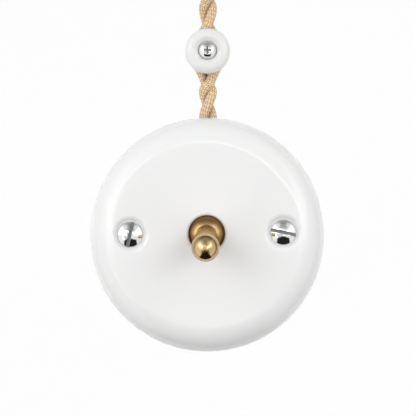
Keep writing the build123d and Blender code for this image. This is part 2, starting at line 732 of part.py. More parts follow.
# The two strands of the cord, carried round the necks of the insulators
neck_x = NECK_R + STRAND_R
for name, side in (("cable_strand_left", -1), ("cable_strand_right", 1)):
    with BuildPart() as strand:
        with BuildLine() as strand_path:
            FilletPolyline(
                (side * STRAND_X, -CORD_DEPTH, CORD_START_Z),
                (side * STRAND_X, -CORD_DEPTH, INSULATOR_Z - 11.5),
                (side * neck_x, -CORD_DEPTH, INSULATOR_Z - 1.7),
                (side * neck_x, -CORD_DEPTH, INSULATOR_Z + 1.7),
                (side * STRAND_X, -CORD_DEPTH, INSULATOR_Z + 11.5),
                (side * STRAND_X, -CORD_DEPTH, END_INSULATOR_Z - 11.5),
                (side * neck_x, -CORD_DEPTH, END_INSULATOR_Z - 1.7),
                (side * neck_x, -CORD_DEPTH, END_INSULATOR_Z),
                radius=(6.0, 6.0, 6.0, 6.0, 6.0, 6.0),
            )
        with BuildSketch(Plane(origin=strand_path.line @ 0, z_dir=(0, 0, 1))):
            Circle(STRAND_R)
        sweep(path=strand_path.line)
    strand.part.label = name
    export_step(strand.part, "parts/" + name + ".step")

# Porcelain knobs that carry the cord
crest_y = -INSULATOR_L
crest_r = INSULATOR_D / 2
for name, z in (("wall_insulator", INSULATOR_Z), ("end_insulator", END_INSULATOR_Z)):
    with BuildPart() as insulator:
        with BuildSketch(turned(0, z)):
            bore_r = INSULATOR_HOLE_D / 2
            seat_r = INSULATOR_SCREW_HEAD_D / 2 + 0.3
            shoulder = ((FLANGE_R + NECK_R) / 2, -(FLANGE_T + NECK_BACK) / 2)
            under_mid = (NECK_R * 0.7 + HEAD_BACK_R * 0.3, -NECK_FRONT * 0.22 - HEAD_BACK * 0.78)
            dish_mid = ((CREST_R + seat_r) / 2, crest_y + CREST_DISH * 0.28)
            with BuildLine():
                Polyline((bore_r, 0), (FLANGE_R, 0), (FLANGE_R, -FLANGE_T))
                TangentArc((FLANGE_R, -FLANGE_T), shoulder, tangent=(0, -1))
                TangentArc(shoulder, (NECK_R, -NECK_BACK), tangent=(-1, -0.15))
                Line((NECK_R, -NECK_BACK), (NECK_R, -NECK_FRONT))
                ThreePointArc((NECK_R, -NECK_FRONT), under_mid, (HEAD_BACK_R, -HEAD_BACK))
                ThreePointArc((HEAD_BACK_R, -HEAD_BACK), (crest_r, -HEAD_WIDEST), (CREST_R, crest_y))
                ThreePointArc((CREST_R, crest_y), dish_mid, (seat_r, crest_y + CREST_DISH))
                Line((seat_r, crest_y + CREST_DISH), (seat_r, crest_y + SEAT_DEPTH))
                Polyline((seat_r, crest_y + SEAT_DEPTH), (bore_r, crest_y + SEAT_DEPTH), (bore_r, 0))
            make_face()
        revolve(axis=depth_axis(0, z))
    insulator.part.label = name
    export_step(insulator.part, "parts/" + name + ".step")

# Domed screws of the knobs with a cross recess
with BuildPart() as insulator_screws:
    seat_y = crest_y + SEAT_DEPTH
    head_r = INSULATOR_SCREW_HEAD_D / 2
    for z in (INSULATOR_Z, END_INSULATOR_Z):
        with BuildSketch(turned(0, z)):
            with BuildLine():
                Polyline((0, -0.2), (INSULATOR_SCREW_D / 2, -0.2), (INSULATOR_SCREW_D / 2, seat_y))
                Polyline((INSULATOR_SCREW_D / 2, seat_y), (head_r, seat_y), (head_r, seat_y - 0.6))
                ThreePointArc((head_r, seat_y - 0.6), (head_r * 0.7, seat_y - 1.75), (0, seat_y - 2.3))
                Line((0, seat_y - 2.3), (0, -0.2))
            make_face()
        revolve(axis=depth_axis(0, z))
        with BuildSketch(front(seat_y - 3)):
            with Locations((0, z)):
                Rectangle(3.4, 0.75, rotation=45)
                Rectangle(3.4, 0.75, rotation=-45)
        extrude(amount=-2.2, mode=Mode.SUBTRACT)
insulator_screws.part.label = "insulator_screws"
export_step(insulator_screws.part, "parts/insulator_screws.step")
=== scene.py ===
import json
import math
import bpy
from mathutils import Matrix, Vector


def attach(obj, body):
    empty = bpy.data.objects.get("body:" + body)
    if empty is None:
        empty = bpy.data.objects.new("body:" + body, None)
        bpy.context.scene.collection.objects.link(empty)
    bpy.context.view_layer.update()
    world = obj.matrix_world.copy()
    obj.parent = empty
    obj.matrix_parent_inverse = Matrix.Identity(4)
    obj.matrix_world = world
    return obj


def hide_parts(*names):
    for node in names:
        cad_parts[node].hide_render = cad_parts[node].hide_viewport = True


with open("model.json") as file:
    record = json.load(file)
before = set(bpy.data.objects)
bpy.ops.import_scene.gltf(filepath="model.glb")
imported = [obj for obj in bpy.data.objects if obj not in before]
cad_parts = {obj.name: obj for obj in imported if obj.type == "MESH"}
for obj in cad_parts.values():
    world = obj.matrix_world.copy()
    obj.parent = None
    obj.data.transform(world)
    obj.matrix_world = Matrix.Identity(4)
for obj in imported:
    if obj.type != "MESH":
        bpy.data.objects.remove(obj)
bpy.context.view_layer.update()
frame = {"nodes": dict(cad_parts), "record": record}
mm = 0.001


# camera at the picture's place and angle
cameraShape = {
    "azimuth": 1.114, "elevation": -2.811, "distance": 997.5, "target": (0.224, -20.0, 9.827),
    "focalPixels": 2739.0, "picturePixels": 416, "sensor": 36.0,
}


def placeCamera(shape):
    az, el = math.radians(shape["azimuth"]), math.radians(shape["elevation"])
    away = Vector((math.sin(az) * math.cos(el), -math.cos(az) * math.cos(el), math.sin(el)))
    target = Vector(shape["target"]) * mm
    data = bpy.data.cameras.new("photoCamera")
    data.sensor_width = shape["sensor"]
    data.lens = shape["focalPixels"] / shape["picturePixels"] * shape["sensor"]
    data.clip_start, data.clip_end = 0.05, 20.0
    camera = bpy.data.objects.new("photoCamera", data)
    bpy.context.collection.objects.link(camera)
    camera.location = target + away * shape["distance"] * mm
    camera.rotation_euler = (-away).to_track_quat("-Z", "Y").to_euler()
    bpy.context.scene.camera = camera


placeCamera(cameraShape)
print("camera placed")


# a socket that does maths, and one way to add any other node
class Signal:
    tree = None

    def __init__(self, out):
        self.out = out

    @classmethod
    def add(cls, kind, settings=None, inputs=None, out=0):
        node = cls.tree.nodes.new("ShaderNode" + kind)
        for key, value in (settings or {}).items():
            if key == "stops":
                ramp = node.color_ramp
                while len(ramp.elements) < len(value):
                    ramp.elements.new(0.5)
                for element, (place, colour) in zip(ramp.elements, value):
                    element.position = place
                    element.color = colour if len(colour) == 4 else (*colour, 1)
            else:
                setattr(node, key, value)
        for key, value in (inputs or {}).items():
            if isinstance(value, Signal):
                cls.tree.links.new(value.out, node.inputs[key])
            else:
                node.inputs[key].default_value = value
        return cls(node.outputs[out])

    def maths(self, operation, other=0.0, swapped=False):
        pair = (other, self) if swapped else (self, other)
        return Signal.add("Math", {"operation": operation}, {0: pair[0], 1: pair[1]})

    def __add__(self, other):
        return self.maths("ADD", other)

    def __radd__(self, other):
        return self.maths("ADD", other, True)

    def __sub__(self, other):
        return self.maths("SUBTRACT", other)

    def __rsub__(self, other):
        return self.maths("SUBTRACT", other, True)

    def __mul__(self, other):
        return self.maths("MULTIPLY", other)

    def __rmul__(self, other):
        return self.maths("MULTIPLY", other, True)

    def __truediv__(self, other):
        return self.maths("DIVIDE", other)

    def __pow__(self, other):
        return self.maths("POWER", other)

    def clamped(self, low=0.0, high=1.0):
        return Signal.add("Clamp", {}, {"Value": self, "Min": low, "Max": high})

    def sine(self):
        return self.maths("SINE")

    def size(self):
        return self.maths("ABSOLUTE")

    def blend(self, first, second):
        inputs = {0: self, 6: first, 7: second}
        return Signal.add("Mix", {"data_type": "RGBA"}, inputs, out=2)


def split(vector):
    node = Signal.add("SeparateXYZ", {}, {"Vector": vector}).out.node
    return [Signal(out) for out in node.outputs]


def rgba(r, g, b):
    return (r, g, b, 1.0)


def place(scale=(1, 1, 1)):
    coords = Signal.add("TexCoord", out="Object")
    return Signal.add("Mapping", {}, {"Vector": coords, "Scale": scale})


def noise(vector, scale, detail=3.0, rough=0.5):
    inputs = {"Vector": vector, "Scale": scale, "Detail": detail, "Roughness": rough}
    return Signal.add("TexNoise", {}, inputs)


def bump(height, strength, distance):
    return Signal.add("Bump", {}, {"Height": height, "Strength": strength, "Distance": distance})


def newMaterial(name, links, constants):
    material = bpy.data.materials.new(name)
    material.use_nodes = True
    tree = material.node_tree
    shader = tree.nodes["Principled BSDF"]
    Signal.tree = tree
    for key, value in constants.items():
        shader.inputs[key].default_value = value
    for key, make in links().items():
        tree.links.new(make.out, shader.inputs[key])
    return material


# turned pieces: a circle is extruded and scaled ring by ring up its profile
def arcRings(r, h, radius, start, end, steps):
    rings = []
    for i in range(steps + 1):
        a = math.radians(start + (end - start) * i / steps)
        rings.append((r + radius * math.cos(a), h + radius * math.sin(a)))
    return rings


def roundedRings(corners, steps=8):
    rings = []
    for i, (r, h, fillet) in enumerate(corners):
        if fillet <= 0 or i in (0, len(corners) - 1):
            rings.append((r, h))
            continue
        here = Vector((r, h))
        before = (Vector(corners[i - 1][:2]) - here).normalized()
        after = (Vector(corners[i + 1][:2]) - here).normalized()
        half = before.angle(after) / 2
        middle = here + (before + after).normalized() * (fillet / math.sin(half))
        first = here + before * (fillet / math.tan(half)) - middle
        last = here + after * (fillet / math.tan(half)) - middle
        sweep = first.angle(last)
        for k in range(steps + 1):
            t = k / steps
            point = (first * math.sin((1 - t) * sweep) + last * math.sin(t * sweep)) / math.sin(sweep)
            rings.append(tuple(middle + point))
    return rings


def deselectAll():
    if bpy.context.object and bpy.context.object.mode != "OBJECT":
        bpy.ops.object.mode_set(mode="OBJECT")
    bpy.ops.object.select_all(action="DESELECT")


def turnedPiece(name, rings, sides=96, loop=False):
    deselectAll()
    rings = [ring for i, ring in enumerate(rings) if i == 0 or math.dist(ring, rings[i - 1]) > 1e-4]
    r, h = rings[0]
    bpy.ops.mesh.primitive_circle_add(vertices=sides, radius=max(r, 0.001) * mm, location=(0, 0, 0))
    piece = bpy.context.object
    piece.name = piece.data.name = name
    bpy.ops.object.mode_set(mode="EDIT")
    bpy.ops.mesh.select_all(action="SELECT")
    bpy.ops.transform.translate(value=(0, 0, h * mm))
    now = max(r, 0.001)
    for r2, h2 in rings[1:] + ([rings[0]] if loop else []):
        bpy.ops.mesh.extrude_edges_move(TRANSFORM_OT_translate={"value": (0, 0, (h2 - h) * mm)})
        r2 = max(r2, 0.001)
        if abs(r2 - now) > 1e-7:
            bpy.ops.transform.resize(value=(r2 / now, r2 / now, 1), center_override=(0, 0, h2 * mm))
        now, h = r2, h2
    bpy.ops.mesh.select_all(action="SELECT")
    bpy.ops.mesh.remove_doubles(threshold=0.004 * mm)
    bpy.ops.mesh.normals_make_consistent(inside=False)
    bpy.ops.object.mode_set(mode="OBJECT")
    return piece


def plug(name, radius, start, end, sides):
    return turnedPiece(name, [(0, start), (radius, start), (radius, end), (0, end)], sides)


def settle(piece, at=(0, 0, 0), turn=(90, 0, 0)):
    deselectAll()
    piece.select_set(True)
    bpy.context.view_layer.objects.active = piece
    piece.location = Vector(at) * mm
    piece.rotation_euler = [math.radians(a) for a in turn]
    bpy.ops.object.transform_apply(location=True, rotation=True, scale=True)


def cutWith(piece, cutter, operation="DIFFERENCE"):
    modifier = piece.modifiers.new("cut", "BOOLEAN")
    modifier.material_mode = "TRANSFER"
    modifier.operation, modifier.solver, modifier.object = operation, "EXACT", cutter
    deselectAll()
    piece.select_set(True)
    bpy.context.view_layer.objects.active = piece
    bpy.ops.object.modifier_apply(modifier=modifier.name)
    bpy.data.objects.remove(cutter)


def finishEdges(piece, width=0.0, angle=35, segments=2):
    deselectAll()
    piece.select_set(True)
    bpy.context.view_layer.objects.active = piece
    if width:
        modifier = piece.modifiers.new("edges", "BEVEL")
        modifier.width, modifier.segments = width * mm, segments
        modifier.limit_method, modifier.angle_limit = "ANGLE", math.radians(angle)
        bpy.ops.object.modifier_apply(modifier=modifier.name)
    bpy.ops.object.shade_smooth_by_angle(angle=math.radians(angle))
    modifier = piece.modifiers.new("normals", "WEIGHTED_NORMAL")
    modifier.keep_sharp, modifier.weight = True, 60
    bpy.ops.object.modifier_apply(modifier=modifier.name)


def joined(name, pieces):
    deselectAll()
    for piece in pieces:
        piece.select_set(True)
    bpy.context.view_layer.objects.active = pieces[0]
    if len(pieces) > 1:
        bpy.ops.object.join()
    pieces[0].name = pieces[0].data.name = name
    return pieces[0]


def boxPiece(name, size, at, turn=(0, 0, 0)):
    deselectAll()
    bpy.ops.mesh.primitive_cube_add(size=1, location=(0, 0, 0))
    piece = bpy.context.object
    piece.name = name
    piece.scale = Vector(size) * mm
    settle(piece, at, turn)
    return piece


def dress(piece, material, body="switch", replaced=()):
    if material:
        piece.data.materials.clear()
        piece.data.materials.append(material)
    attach(piece, body)
    if replaced:
        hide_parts(*replaced)


# twisted cord: its line first, then two strands laid round it, parted at the necks of the knobs
cordShape = {
    "route": [(0, -9, 42), (0, -9, 52), (0, -9, 67.7), (0, -9, 83), (0, -9, 98)],
    "strandRadius": 1.8, "layRadius": 1.52, "neckOffset": 4.45,
    "necks": (67.7, 98.0), "neckFlat": 1.4, "neckReach": 9.7,
    # height on the cord and the turns made up to there
    "turns": [(42.0, -0.03), (43.0, 0.01), (45.6, 0.11), (48.4, 0.25), (53.2, 0.5), (55.0, 0.665),
              (56.6, 0.835), (58.8, 0.915), (62.5, 0.985), (67.7, 1.0), (72.6, 1.03), (75.3, 1.11),
              (77.5, 1.215), (79.0, 1.29), (84.0, 1.5), (88.0, 1.75), (92.0, 1.93), (98.0, 2.0)],
    "stations": 260, "sides": 28,
    "yarnsAround": 12.0, "yarnsAlong": 8.0,
    "cotton": [(0.0, (0.38, 0.17, 0.055)), (0.30, (0.65, 0.41, 0.19)),
               (0.62, (0.83, 0.625, 0.385)), (1.0, (0.93, 0.83, 0.68))],
    # colour of the painted shade between the two strands
    "creviceShade": (0.22, 0.095, 0.03),
}


def cordLine(shape):
    curve = bpy.data.curves.new("cordLine", "CURVE")
    curve.dimensions = "3D"
    spline = curve.splines.new("NURBS")
    spline.points.add(len(shape["route"]) - 1)
    for point, at in zip(spline.points, shape["route"]):
        point.co = (*(Vector(at) * mm), 1)
    spline.order_u = 3
    spline.use_endpoint_u = True
    spline.resolution_u = 24
    guide = bpy.data.objects.new("cordLine", curve)
    bpy.context.collection.objects.link(guide)
    line = bpy.data.meshes.new_from_object(guide)
    points = [vertex.co.copy() for vertex in line.vertices]
    bpy.data.objects.remove(guide)
    return points


# a smooth curve through the keys that never turns back
def eased(keys, z, flat=()):
    xs, ys = [k[0] for k in keys], [k[1] for k in keys]
    slopes = [(ys[i + 1] - ys[i]) / (xs[i + 1] - xs[i]) for i in range(len(xs) - 1)]
    i = max(0, min(len(slopes) - 1, sum(1 for x in xs[1:] if x <= z)))
    ends = []
    for j in (i, i + 1):
        if j == 0 or j == len(slopes):
            ends.append(slopes[min(j, len(slopes) - 1)])
        elif xs[j] in flat:
            ends.append(min(slopes[j - 1], slopes[j]) * 0.25)
        else:
            ends.append(2 * slopes[j - 1] * slopes[j] / (slopes[j - 1] + slopes[j]))
    h = xs[i + 1] - xs[i]
    t = min(1.0, max(0.0, (z - xs[i]) / h))
    return ((2 * t**3 - 3 * t**2 + 1) * ys[i] + (t**3 - 2 * t**2 + t) * h * ends[0]
            + (3 * t**2 - 2 * t**3) * ys[i + 1] + (t**3 - t**2) * h * ends[1])


def layStrands(shape, points):
    lengths = [0.0]
    for a, b in zip(points, points[1:]):
        lengths.append(lengths[-1] + (b - a).length)
    vertices, faces, coords = [], [], []
    for side in (0, 1):
        centres = []
        for n in range(shape["stations"] + 1):
            want = lengths[-1] * n / shape["stations"]
            k = min(len(lengths) - 2, max(0, sum(1 for v in lengths if v <= want) - 1))
            share = (want - lengths[k]) / (lengths[k + 1] - lengths[k])
            middle = points[k].lerp(points[k + 1], share)
            z = middle.z / mm
            turn = 2 * math.pi * (eased(shape["turns"], z, shape["necks"]) + side / 2)
            wide = shape["layRadius"]
            for neck in shape["necks"]:
                away = max(0.0, abs(z - neck) - shape["neckFlat"])
                near = max(0.0, 1 - away / shape["neckReach"])
                wide += (shape["neckOffset"] - shape["layRadius"]) * near * near * (3 - 2 * near)
            across = Vector((wide * math.cos(turn), shape["layRadius"] * math.sin(turn), 0)) * mm
            centres.append((middle + across, across.normalized()))
        run, first = 0.0, len(vertices)
        around = 2 * math.pi * shape["strandRadius"] * mm
        for n, (centre, out) in enumerate(centres):
            last, following = centres[max(0, n - 1)][0], centres[min(len(centres) - 1, n + 1)][0]
            along = (following - last).normalized()
            if n:
                run += (centre - last).length
            outward = (out - along * out.dot(along)).normalized()
            over = along.cross(outward)
            for s in range(shape["sides"]):
                a = 2 * math.pi * s / shape["sides"]
                spoke = outward * math.cos(a) + over * math.sin(a)
                vertices.append(centre + spoke * shape["strandRadius"] * mm)
            for s in range(shape["sides"]):
                if n < shape["stations"]:
                    t = (s + 1) % shape["sides"]
                    base = first + n * shape["sides"]
                    faces.append((base + s, base + t, base + shape["sides"] + t, base + shape["sides"] + s))
            coords.append(run / around)
        faces.append(tuple(first + s for s in reversed(range(shape["sides"]))))
        top = first + shape["stations"] * shape["sides"]
        faces.append(tuple(top + s for s in range(shape["sides"])))
    mesh = bpy.data.meshes.new("twistedCable")
    mesh.from_pydata([tuple(v) for v in vertices], [], faces)
    layer = mesh.uv_layers.new(name="braid")
    sides = shape["sides"]
    for face in mesh.polygons:
        if face.loop_total > 4:
            continue
        for loop in face.loop_indices:
            row, s = divmod(mesh.loops[loop].vertex_index, sides)
            seam = s == 0 and any(v % sides == sides - 1 for v in face.vertices)
            layer.data[loop].uv = ((sides if seam else s) / sides, coords[row])
    cable = bpy.data.objects.new("twistedCable", mesh)
    bpy.context.collection.objects.link(cable)
    for polygon in mesh.polygons:
        polygon.use_smooth = polygon.loop_total == 4
    return cable


cordPoints = cordLine(cordShape)
cable = layStrands(cordShape, cordPoints)


# braided cotton: two sets of yarns that pass over and under each other
def braidLinks():
    around, along = split(Signal.add("UVMap", {"uv_map": "braid"}))[:2]
    spot = place()
    sway = noise(spot, 700.0, 2.0) * 0.5
    across, forward = around * cordShape["yarnsAround"], along * cordShape["yarnsAlong"]
    left = ((across + forward + sway) * math.pi).sine()
    right = ((across - forward - sway) * math.pi).sine()
    over = (left * right * 3.0 + 0.5).clamped()
    leftYarn = left.size() ** 0.7 * right.size() ** 0.3
    rightYarn = right.size() ** 0.7 * left.size() ** 0.3
    yarns = over * leftYarn + (1 - over) * rightYarn * 0.8
    fuzz = noise(spot, 2600.0, 2.0, 0.7)
    patch = noise(spot, 420.0, 2.0, 0.6)
    height = yarns * 0.8 + fuzz * 0.35
    # the tone runs dark in the gaps between the yarns and lighter on a yarn lying over: the yarns' own tone
    # with painted shade and painted light
    tone = yarns * 1.2 + over * 0.18 - 0.20 + (fuzz - 0.5) * 1.2 + (patch - 0.5) * 0.3
    colour = Signal.add("ValToRGB", {"stops": cordShape["cotton"]}, {"Fac": tone.clamped()})
    # painted shade: the sides that the two strands turn to each other are darkened
    creviceShade = (((around * math.tau).maths("COSINE") * -1.0 - 0.1) * 1.1).clamped() * 0.8
    colour = creviceShade.blend(colour, rgba(*cordShape["creviceShade"]))
    return {"Base Color": colour, "Normal": bump(height, 0.9, 0.00025)}


cottonBraid = newMaterial("cottonBraid", braidLinks, {
    "Roughness": 0.9, "Sheen Weight": 0.25, "Sheen Roughness": 0.5, "Sheen Tint": rgba(1.0, 0.9, 0.75),
    "Specular IOR Level": 0.2})


def leadLinks():
    spot = place()
    yarn = noise(spot, 2400.0, 2.0, 0.7)
    rise = split(spot)[2]
    rings = (rise * 5200.0 + noise(spot, 500.0) * 4.0).sine()
    tone = (rings * 0.2 + yarn).clamped()
    colour = tone.blend(rgba(0.30, 0.18, 0.10), rgba(0.74, 0.58, 0.40))
    return {"Base Color": colour, "Normal": bump(rings * 0.5 + yarn, 0.8, 0.0002)}


leadCotton = newMaterial("leadCotton", leadLinks, {"Roughness": 0.92, "Sheen Weight": 0.3})


# porcelain glaze: a soft white body with the slow waves and pinholes of a fired surface
def glazeLinks(tint, speckTint, waves):
    def make():
        spot = place()
        slow = noise(spot, waves, 2.0)
        fine = noise(spot, 260.0, 3.0)
        specks = noise(spot, 620.0, 1.0)
        mask = ((specks - 0.79) * 14.0).clamped()
        cloud = slow.blend(rgba(*[c * 0.985 for c in tint]), rgba(*tint))
        colour = (mask * 0.25).blend(cloud, rgba(*speckTint))
        height = slow + fine * 0.03
        return {"Base Color": colour, "Normal": bump(height, 0.35, 0.0004), "Roughness": fine * 0.04 + 0.06}
    return make


coverGlaze = newMaterial("coverGlaze", glazeLinks((0.86, 0.86, 0.857), (0.62, 0.56, 0.47), 42.0), {
    "Subsurface Weight": 0.5, "Subsurface Scale": 0.002, "Subsurface Radius": (1.0, 0.9, 0.8)})
knobGlaze = newMaterial("knobGlaze", glazeLinks((0.80, 0.797, 0.787), (0.6, 0.5, 0.4), 90.0), {
    "Subsurface Weight": 0.35, "Subsurface Scale": 0.003, "Subsurface Radius": (1.0, 0.8, 0.6)})


# cover: spun shell with its two screw dishes, the lever's hole and the notch for the cord
# each profile gives radius, distance from the wall and, at a corner, the fillet
coverShape = {
    "depth": 34.0, "sides": 180,
    "hole": [(6.9, 29.0), (6.9, 32.05), (6.5, 32.7)], "lip": (7.55, 32.95, 1.05),
    "face": (8.4, 10.5, 19.0, 31.5),
    "outside": [(42.35, 34.0, 10.0), (42.5, 0.5, 1.0), (38.0, 0.5, 0.0)],
    "inside": [(37.85, 29.0, 5.0), (6.9, 29.0, 0.0)],
    "screws": 27.55, "screwTurn": 0.75, "boss": (6.5, 15.999, 30.0),
    "dish": (7.1, 2.0, 1.2), "cone": (4.75, 2.75), "screwHoleEnd": 14.0,
    "cordHole": (4.0, 30.0, 50.0), "notch": (8.0, 10.0, 20.0), "notchAt": (0, -4.0, 40.0),
}
screwTurn = math.radians(coverShape["screwTurn"])
screwReach = [side * coverShape["screws"] for side in (-1, 1)]
screwPlaces = [(reach * math.cos(screwTurn), reach * math.sin(screwTurn)) for reach in screwReach]


def makeCover(shape):
    face = shape["depth"]
    lipR, lipH, lip = shape["lip"]
    rings = shape["hole"] + arcRings(lipR, lipH, lip, 180, 90, 10)
    rings += [(r, face) for r in shape["face"]]
    rings += roundedRings([(*rings[-1], 0)] + shape["outside"], 18)[1:]
    rings += roundedRings(shape["outside"][-1:] + shape["inside"], 8)[1:-1]
    cover = turnedPiece("glazedCover", rings, shape["sides"], loop=True)
    settle(cover)
    dishR, lip, depth = shape["dish"]
    coneR, holeR = shape["cone"]
    for x, z in screwPlaces:
        boss = plug("boss", *shape["boss"], 64)
        settle(boss, (x, 0, z))
        cutWith(cover, boss, "UNION")
        # the lip stops where the dish has its depth
        bend = math.degrees(math.acos(1 - depth / lip))
        rings = [(0, face + 3), (dishR, face + 3)] + arcRings(dishR, face - lip, lip, 90, 90 + bend, 12)
        rings += [(coneR, face - depth), (holeR, face - depth - coneR + holeR)]
        rings += [(holeR, shape["screwHoleEnd"]), (0, shape["screwHoleEnd"])]
        dish = turnedPiece("dish", rings, 72)
        settle(dish, (x, 0, z))
        cutWith(cover, dish)
    bar = plug("bar", *shape["cordHole"], 48)
    settle(bar, (0, cordShape["route"][0][1], 0), (0, 0, 0))
    cutWith(cover, bar)
    cutWith(cover, boxPiece("slot", shape["notch"], shape["notchAt"]))
    finishEdges(cover, angle=40)
    return cover


cover = makeCover(coverShape)
dress(cover, coverGlaze, "switch", ["cover"])
print("cover made")


# plated screws with a slot, each turned as it was left
screwShape = {
    "head": 4.6, "crown": 34.45, "rim": 32.95, "seat": 32.65, "shank": 2.5, "end": 8.5,
    "slot": (1.2, 1.6), "slotCutter": (14.0, 4.0), "turns": (78.0, -12.0),
}


def plateLinks():
    spot = place()
    scratches = noise(place(scale=(1, 1, 9)), 500.0, 2.0)
    film = noise(spot, 160.0, 3.0)
    colour = film.blend(rgba(0.66, 0.66, 0.67), rgba(0.84, 0.84, 0.85))
    return {"Base Color": colour, "Roughness": film * 0.08 + 0.05, "Normal": bump(scratches, 0.12, 0.00005)}


chromePlate = newMaterial("chromePlate", plateLinks, {"Metallic": 1.0})


# painted shade: the walls and floors of the screw slots and cross recesses are coloured dark
def recessShadeLinks():
    shadeNoise = noise(place(), 900.0, 3.0)
    colour = shadeNoise.blend(rgba(0.10, 0.10, 0.105), rgba(0.34, 0.34, 0.35))
    return {"Base Color": colour, "Roughness": shadeNoise * 0.2 + 0.3}


recessShade = newMaterial("recessShade", recessShadeLinks, {"Metallic": 0.8})


def makeCoverScrews(shape):
    screws = []
    rise = shape["crown"] - shape["rim"]
    ball = (shape["head"] ** 2 + rise**2) / (2 * rise)
    spread = math.degrees(math.asin(shape["head"] / ball))
    for (x, z), turn in zip(screwPlaces, shape["turns"]):
        rings = arcRings(0, shape["crown"] - ball, ball, 90, 90 - spread, 14)
        rings += [(shape["head"], shape["seat"])]
        rings += [(shape["shank"], shape["seat"] - shape["head"] + shape["shank"])]
        rings += [(shape["shank"], shape["end"]), (0, shape["end"])]
        screw = turnedPiece("coverScrew", rings, 64)
        screw.data.materials.append(chromePlate)
        settle(screw, (x, 0, z))
        width, depth = shape["slot"]
        long, high = shape["slotCutter"]
        middle = shape["crown"] - depth + high / 2
        slot = boxPiece("slot", (long, high, width), (x, -middle, z), (0, -turn, 0))
        slot.data.materials.append(recessShade)
        cutWith(screw, slot)
        finishEdges(screw, 0.13, 32, 2)
        screws.append(screw)
    return joined("platedScrews", screws)


coverScrews = makeCoverScrews(screwShape)
dress(coverScrews, None, "switch", ["cover_screws"])
print("cover screws made")


# turned brass lever
leverShape = {
    "pivot": (0, -31, 0), "tilt": 14.0, "dome": 6.68, "bore": 5.2, "rim": -1.2, "stem": 4.0,
    "root": 0.35, "ball": 5.0, "length": 24.0, "rod": 2.2, "rodEnd": 12.0, "pinHole": (1.0, -9, 9),
    "neckLines": (6.0, 0.25, 0.05), "neckGroove": 0.03,
}


def makeLever(shape):
    dome, stem, root, ball = shape["dome"], shape["stem"], shape["root"], shape["ball"]
    rim, bore, rod = shape["rim"], shape["bore"], shape["rod"]
    rings = [(0, shape["rodEnd"]), (rod, shape["rodEnd"]), (rod, math.sqrt(bore**2 - rod**2))]
    deepest, edge = math.degrees(math.acos(rod / bore)), math.degrees(math.asin(rim / bore))
    rings += arcRings(0, 0, bore, deepest, edge, 10)[1:]
    rootH = math.sqrt((dome + root) ** 2 - (stem + root) ** 2)
    meets = math.degrees(math.atan2(rootH, stem + root))
    rings += arcRings(0, 0, dome, math.degrees(math.asin(rim / dome)), meets, 18)
    rings += arcRings(stem + root, rootH, root, 180 + meets, 180, 6)[1:]
    neck = shape["length"] - math.sqrt(ball**2 - stem**2)
    low, middle, top = (neck - line for line in shape["neckLines"])
    rings += [(stem, low), (stem, middle), (stem - shape["neckGroove"], top)]
    start = -math.degrees(math.acos(stem / ball))
    rings += arcRings(0, shape["length"], ball, start + 2.5, 90, 34)
    lever = turnedPiece("turnedLever", rings, 96)
    pin = plug("pinHole", *shape["pinHole"], 32)
    settle(pin, (0, 0, 0), (0, 90, 0))
    cutWith(lever, pin)
    settle(lever, shape["pivot"], (90 + shape["tilt"], 0, 0))
    finishEdges(lever, angle=30)
    return lever


def latheMarks(position, detail):
    inputs = {"W": position, "Scale": 1.0, "Detail": detail}
    return Signal.add("TexNoise", {"noise_dimensions": "1D"}, inputs)


# where the brass changes: along the lever, then as a radius and a width round its middle
brassPlaces = {
    # the dome's radii below also place painted shade at its edge and at the stem's root, and painted light
    # at its rim
    "ballStart": 19.6, "domeEnd": 6.7, "wearAndEdgeShade": (4.2, 1.7), "seam": (4.12, 0.34), "roughAndLitEdge": (6.1, 0.4),
}


